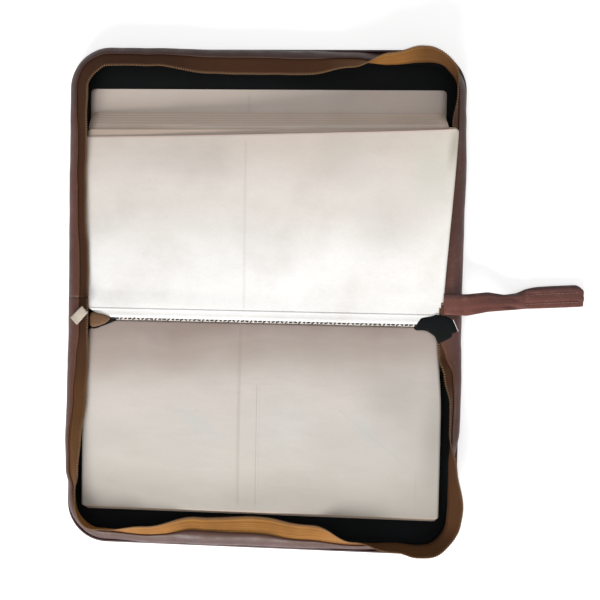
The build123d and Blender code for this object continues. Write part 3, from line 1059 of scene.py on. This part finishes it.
for number in range(lower_leaves):
    top = number == lower_leaves - 1
    rise = 0.3 + 0.5 * number

    def low_lift(u, share, x, along):
        sides = 1 - 0.85 * smooth(0.72, 1.0, abs(u))
        hump = rise * sin(pi * share) ** 0.8 * (1 - share * 0.35) * sides
        waves = (0.3 if top else 0.15) * ripple(x, along, 24.0, 3 + number) * min(1.0, share * 5)
        return hump + waves

    def low_edges(share):
        reach = (130.8 if top else 130.2) - taper(share)
        return reach, reach

    body = f"lower_leaf_{number + 1}"
    arc = (lower_chord_step * number, lower_bend[0] + lower_bend[1] * number)
    leaf = leaf_slab(
        f"{body}_page", sewn_edge(f"{body}_hinge"), arc, -1, (0, leaf_length),
        161 if top else 41, 2.2 if top else 6.0,
        low_edges, lambda u: -1.2, low_lift, low_page if top else under_page,
    )
    declare_leaf(leaf, body, body)


# The flat pockets on the covers

for half_name, half_side in (("front", 1), ("back", -1)):
    low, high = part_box(f"{half_name}_cover_pocket")
    near, far = (low.y, high.y) if half_side > 0 else (-high.y, -low.y)
    near, far = near / MM, far / MM
    grid = []
    for along in rows_to(far - near, pocket_corner, 0.0, 4.0):
        half = outline_half(along, far - near, leaf_half + 1, pocket_corner)
        x = np.linspace(-half, half, 61)
        z = pocket_height + 0.12 * ripple(x, along, 15.0, 5)
        grid.append(np.stack([x, np.full_like(x, half_side * (near + along)), z], axis=1))
    pocket = slab(f"{half_name}_pocket_film", np.array(grid), leaf_thickness, pocket_film)
    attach(pocket, f"{half_name}_cover")
    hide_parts(f"{half_name}_cover_pocket")


# Binding: a cloth roll with a row of stitches


def capsule(points, faces, start, end, radius, sides=8):
    """Adds a rounded stitch from start to end to a list of points and faces."""
    start, end = np.asarray(start, float), np.asarray(end, float)
    way = (end - start) / np.linalg.norm(end - start)
    helper = np.array([0, 0, 1.0]) if abs(way[2]) < 0.9 else np.array([1.0, 0, 0])
    side = np.cross(way, helper)
    side /= np.linalg.norm(side)
    up = np.cross(side, way)
    tip = way * 0.7 * radius
    rings = ((start - tip, 0.5), (start, 0.9), (end, 0.9), (end + tip, 0.5))
    add_rings(points, faces, rings, side * radius, up * radius, sides)


ridge_loops = []
for x in np.linspace(-ridge_half, ridge_half, 121):
    swell = 1 - 0.35 * (max(0.0, abs(x) - (ridge_half - 3)) / 3) ** 2
    loop = []
    for angle in np.linspace(0, pi, 15):
        out = 9.0 * cos(angle) * (1 - 0.3 * sin(angle)) * swell
        up = (ridge_top - floor_top) * sin(angle) * swell
        loop.append((x, ridge_y - 1.0 + out, floor_top + up))
    ridge_loops.append(loop)
ridge = tube("binding_roll", ridge_loops, lining)
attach(ridge, "spine")
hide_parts("binding_ridge")

strip_rows = []
for out, up in ((0.0, 1.45), (1.5, 1.5), (3.0, 1.4), (4.2, 1.1), (4.9, 0.7)):
    x = np.linspace(-112, 117, 80)
    rough = 0.12 * ripple(x, out, 9.0, 3)
    strip_rows.append(np.stack([x, ridge_y + 3.6 - out + rough, ridge_top + up + 0 * x], axis=1))
strip = slab("binding_strip", np.array(strip_rows), 0.3, strip_film)
mark(strip, "rim", np.zeros(len(strip.data.vertices)))
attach(strip, "spine")

stitch_points, stitch_faces = [], []
for step in range(stitch_count):
    x = stitch_start + step * stitch_pitch
    wobble = 0.4 * sin(2.3 * step)
    half = 0.75 + 0.25 * sin(1.7 * step)
    start = (x - half, ridge_y - 0.6 + wobble, ridge_top + 1.75)
    end = (x + half, ridge_y - 0.4 - wobble, ridge_top + 1.75)
    capsule(stitch_points, stitch_faces, start, end, stitch_radius)
stitches = add_mesh("binding_thread_row", stitch_points, stitch_faces, thread_dark)
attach(stitches, "spine")
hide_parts("binding_stitches")

# The spine's own end walls are part of the two soft halves

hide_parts("left_spine_wall", "right_spine_wall")


def end_piece(name, outline, height, slope, material, node=None):
    """A folded end of cloth beside the binding, a little domed, from its outline seen from above.

    The outline's corners are rounded. Its height is given at its first point, and it rises by
    slope along x.
    """
    outline = np.asarray(outline, float)
    first = outline[0, 0]
    for _ in range(2):
        after = np.roll(outline, -1, axis=0)
        pairs = [0.8 * outline + 0.2 * after, 0.2 * outline + 0.8 * after]
        outline = np.stack(pairs, axis=1).reshape(-1, 2)
    middle = outline.mean(axis=0)
    points = []
    levels = ((-3.0, 0.92), (-0.2, 1.0), (0.5, 0.9), (0.9, 0.6))
    for level, scale in levels:
        for x, y in middle + (outline - middle) * scale:
            points.append((x, y, height + slope * (x - first) + level))
    piece = add_mesh(name, points, skin_faces(0, len(levels), len(outline)), material)
    bend(piece)
    if node:
        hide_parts(node)


end_piece(
    "left_tape_end",
    [(-126.6, -10.0), (-115.3, -12.0), (-110.1, -14.8), (-115.2, -19.4), (-126.4, -22.6)],
    13.4, -0.02, end_cloth, "left_zip_end",
)
end_piece(
    "left_roll_end",
    [
        (-127.5, -13.0), (-113.0, -12.8), (-107.5, -13.6),
        (-106.6, -16.4), (-110.0, -18.0), (-126.4, -24.6),
    ],
    11.9, 0.0, lining,
)
end_piece(
    "right_tape_end",
    [
        (109.6, -11.9), (114.7, -9.4), (123.0, -8.2), (125.6, -6.6), (136.4, -8.6),
        (141.0, -18.6), (136.6, -20.0), (137.0, -22.6), (127.2, -27.8), (124.9, -21.7),
        (118.4, -18.2), (110.6, -18.8),
    ],
    11.6, 0.17, lining, "right_zip_end",
)
# A thin pale capsule along the right tape end's edge: a painted glint
glint_points, glint_faces = [], []
capsule(glint_points, glint_faces, (137.4, -10.2, 16.6), (141.0, -18.0, 17.0), 0.35)
fold_and_glint = add_mesh("tape_end_painted_glint", glint_points, glint_faces, strip_film)
mark(fold_and_glint, "rim", np.zeros(len(glint_points)))
bend(fold_and_glint)


# The wrist strap: two layers of leatherette, sewn over the wall and pinched where it twists

strap_seam_places = (-0.55, 0.3)

# The strap's line: place along x, lower and upper edge seen from above, height of its middle

strap_line = [
    (130.5, -6.6, 8.2, 16.0),
    (136.0, -6.8, 8.2, 16.3),
    (141.0, -6.9, 8.2, 15.5),
    (147.0, -7.3, 8.2, 13.8),
    (155.0, -5.8, 9.2, 11.6),
    (162.5, -4.3, 10.0, 9.2),
    (174.6, -3.2, 8.3, 6.5),
    (183.7, -2.4, 9.7, 5.0),
    (190.4, -1.6, 12.8, 4.0),
    (197.7, -1.3, 14.4, 3.3),
    (210.0, -0.6, 15.4, 2.8),
    (226.5, 0.4, 16.4, 2.5),
    (229.6, 0.7, 14.6, 2.4),
    (231.2, 0.9, 12.4, 2.4),
]


def bell(value, middle, width):
    """A smooth hump of height 1."""
    return float(np.exp(-(((value - middle) / width) ** 2)))


def strap_at(x):
    """The strap's lower edge, its upper edge and its middle's height, at a place along x."""
    columns = np.array(strap_line).T
    return [float(np.interp(x, columns[0], column)) for column in columns[1:]]


def strap_loop(x):
    """A section of the strap: flat below, with a rounded far side and a lengthwise ridge."""
    near, far, height = (
        0.25 * before + 0.5 * here + 0.25 * after
        for before, here, after in zip(strap_at(x - 1.5), strap_at(x), strap_at(x + 1.5))
    )
    pinch = bell(x, 184, 9.0)
    patch = float(smooth(152, 142, x))
    thick = 1.9 - 0.8 * patch
    loop = []
    for step in range(strap_sides):
        angle = 2 * pi * step / strap_sides
        flat = squarer(cos(angle), 0.6)
        lift = squarer(sin(angle), 0.65)
        up = thick * lift
        if lift > 0:
            ridge_up = 1.5 * bell(flat, -0.12, 0.2) * (1 - patch)
            shoulder = 0.8 * bell(flat, 0.72, 0.22) * (1 - patch)
            groove = -0.35 * sum(bell(flat, seam, 0.07) for seam in strap_seam_places)
            crumple = 0.9 * pinch * sin(7 * flat + 0.33 * x)
            crumple += 0.25 * float(ripple(x, 9 * flat, 5.0, 4))
            up += (ridge_up + shoulder + groove + crumple) * lift
        y = (near + far) / 2 + flat * (far - near) / 2
        loop.append((x, y, max(0.06, height + up)))
    return loop


strap_places = np.concatenate([np.linspace(130.5, 228.5, 90), np.linspace(229.2, 231.2, 4)])
strap = tube("wrist_strap_leather", [strap_loop(x) for x in strap_places], strap_leather)
# The across value carries the painted shade on the strap's far (+y) side.
strap_across = squarer(np.cos(2 * pi * np.arange(strap_sides) / strap_sides), 0.6)
mark(strap, "across", np.tile(strap_across, len(strap_places)))
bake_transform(strap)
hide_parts("wrist_strap", "strap_patch")

seam_points, seam_faces = [], []
for flat in strap_seam_places:
    for x in np.arange(188.0, 228.0, strap_stitch_pitch):
        near, far, height = strap_at(x)
        y = (near + far) / 2 + flat * (far - near) / 2
        start = (x - 1.0, y, height + 2.0)
        end = (x + 1.0, y + 0.1, height + 2.0)
        capsule(seam_points, seam_faces, start, end, strap_stitch_radius, 6)
strap_seams = add_mesh("strap_seams", seam_points, seam_faces, thread_brown)
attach(strap_seams, "strap")


# The pull tab: a bare folded ribbon on a small slider

tab_root = np.array(joint_place["pull_tab_swing"]) / MM
tab_turn = radians(-48)
hinge_way = np.array([cos(tab_turn), sin(tab_turn), 0.0])
tab_start = tab_root + tab_shift * hinge_way

# The way the tab hangs: square to its hinge line, and 20 degrees down

tab_way = np.array([-0.698, -0.629, -0.342])
tab_up = np.cross(hinge_way, tab_way)
tab_up = tab_up if tab_up[2] > 0 else -tab_up
tab_rows = []
for along in np.linspace(-0.6, 13.4, 22):
    half = 3.2 + 0.35 * along / 13
    across = np.linspace(-half, half, 9)
    curl = 0.25 * sin(along * 0.5) - 0.02 * across**2
    tab_rows.append([
        tab_start + tab_way * along + hinge_way * a + tab_up * c for a, c in zip(across, curl)
    ])
tab = slab("pull_tab_ribbon", np.array(tab_rows), 0.9, ribbon)
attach(tab, "pull_tab")
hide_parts("zip_pull_tab")


def slider_loop(level, half_x, half_y):
    """A rounded oblong section of the slider's body."""
    loop = []
    middle = tab_start + 3.0 * tab_way
    for angle in np.linspace(0, 2 * pi, 20, endpoint=False):
        x = middle[0] + half_x * squarer(cos(angle), 0.5)
        y = middle[1] + half_y * squarer(sin(angle), 0.5)
        loop.append((x, y, level))
    return loop


slider = tube(
    "slider_body",
    [
        slider_loop(level, half_x, half_y)
        for level, half_x, half_y in (
            (14.2, 1.8, 2.3), (14.6, 2.2, 2.8), (16.6, 2.2, 2.8), (17.0, 1.2, 1.5),
            (18.4, 1.0, 1.3), (19.4, 1.1, 1.5), (19.8, 0.7, 1.0),
        )
    ],
    bronze,
)
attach(slider, "spine")
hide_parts("zip_slider")


# Camera, floor and lights

image_size = 600
focal_pixels = 745.46
camera_data = bpy.data.cameras.new("camera")
camera_data.sensor_width = 36.0
camera_data.lens = focal_pixels / image_size * camera_data.sensor_width
camera = bpy.data.objects.new("camera", camera_data)
camera.location = (60.37 * MM, 14.94 * MM, 550 * MM)
camera.rotation_euler = (-0.0238, 0.0605, 0.0205)
bpy.context.scene.collection.objects.link(camera)
bpy.context.scene.camera = camera
bpy.context.scene.view_settings.view_transform = "Standard"

table_size = 6
table_glow = 0.5
world_level = 0.35


def seen_directly(tree):
    """A socket that is 1 for camera, glossy and transmission rays, and 0 for the rest."""
    rays = tree.nodes.new("ShaderNodeLightPath").outputs
    seen = rays["Is Camera Ray"]
    for ray in ("Is Glossy Ray", "Is Transmission Ray"):
        either = tree.nodes.new("ShaderNodeMath")
        either.operation = "MAXIMUM"
        tree.links.new(seen, either.inputs[0])
        tree.links.new(rays[ray], either.inputs[1])
        seen = either.outputs[0]
    return seen


table_material = Nodes("pale_table")
seen = seen_directly(table_material.tree)
table_material.set(
    Base_Color=rgb(240, 240, 240),
    Roughness=0.8,
    Normal=table_material.bump(table_material.noise(300, 3), 0.0001, 0.2),
    Emission_Color=(1, 1, 1, 1),
    Emission_Strength=table_material.sum(seen, table_glow, "MULTIPLY"),
)
bpy.ops.mesh.primitive_plane_add(size=table_size, location=(0, 0, 0))
table = bpy.context.object
table.name = "table"
table.data.materials.append(table_material.material)

world = bpy.data.worlds.new("world")
world.use_nodes = True
background = world.node_tree.nodes["Background"]
background.inputs["Color"].default_value = (1, 1, 1, 1)
level = world.node_tree.nodes.new("ShaderNodeMapRange")
level.inputs["To Min"].default_value = world_level
level.inputs["To Max"].default_value = 1.0
world.node_tree.links.new(seen_directly(world.node_tree), level.inputs["Value"])
world.node_tree.links.new(level.outputs["Result"], background.inputs["Strength"])
bpy.context.scene.world = world


def area_light(name, place, size, power, colour=(1, 1, 1)):
    """A rectangular lamp that points at the middle of the case."""
    lamp_data = bpy.data.lights.new(name, "AREA")
    lamp_data.energy = power
    lamp_data.shape = "RECTANGLE"
    lamp_data.size, lamp_data.size_y = size
    lamp_data.color = colour
    lamp = bpy.data.objects.new(name, lamp_data)
    lamp.location = place
    lamp.rotation_euler = (-Vector(place)).to_track_quat("-Z", "Y").to_euler()
    bpy.context.scene.collection.objects.link(lamp)


area_light(
    "window", place=(-0.3, -1.4, 0.7), size=(0.8, 0.45), power=29, colour=(1.0, 0.985, 0.96)
)
area_light("fill", place=(0.3, 0.2, 1.6), size=(1.6, 1.6), power=6)
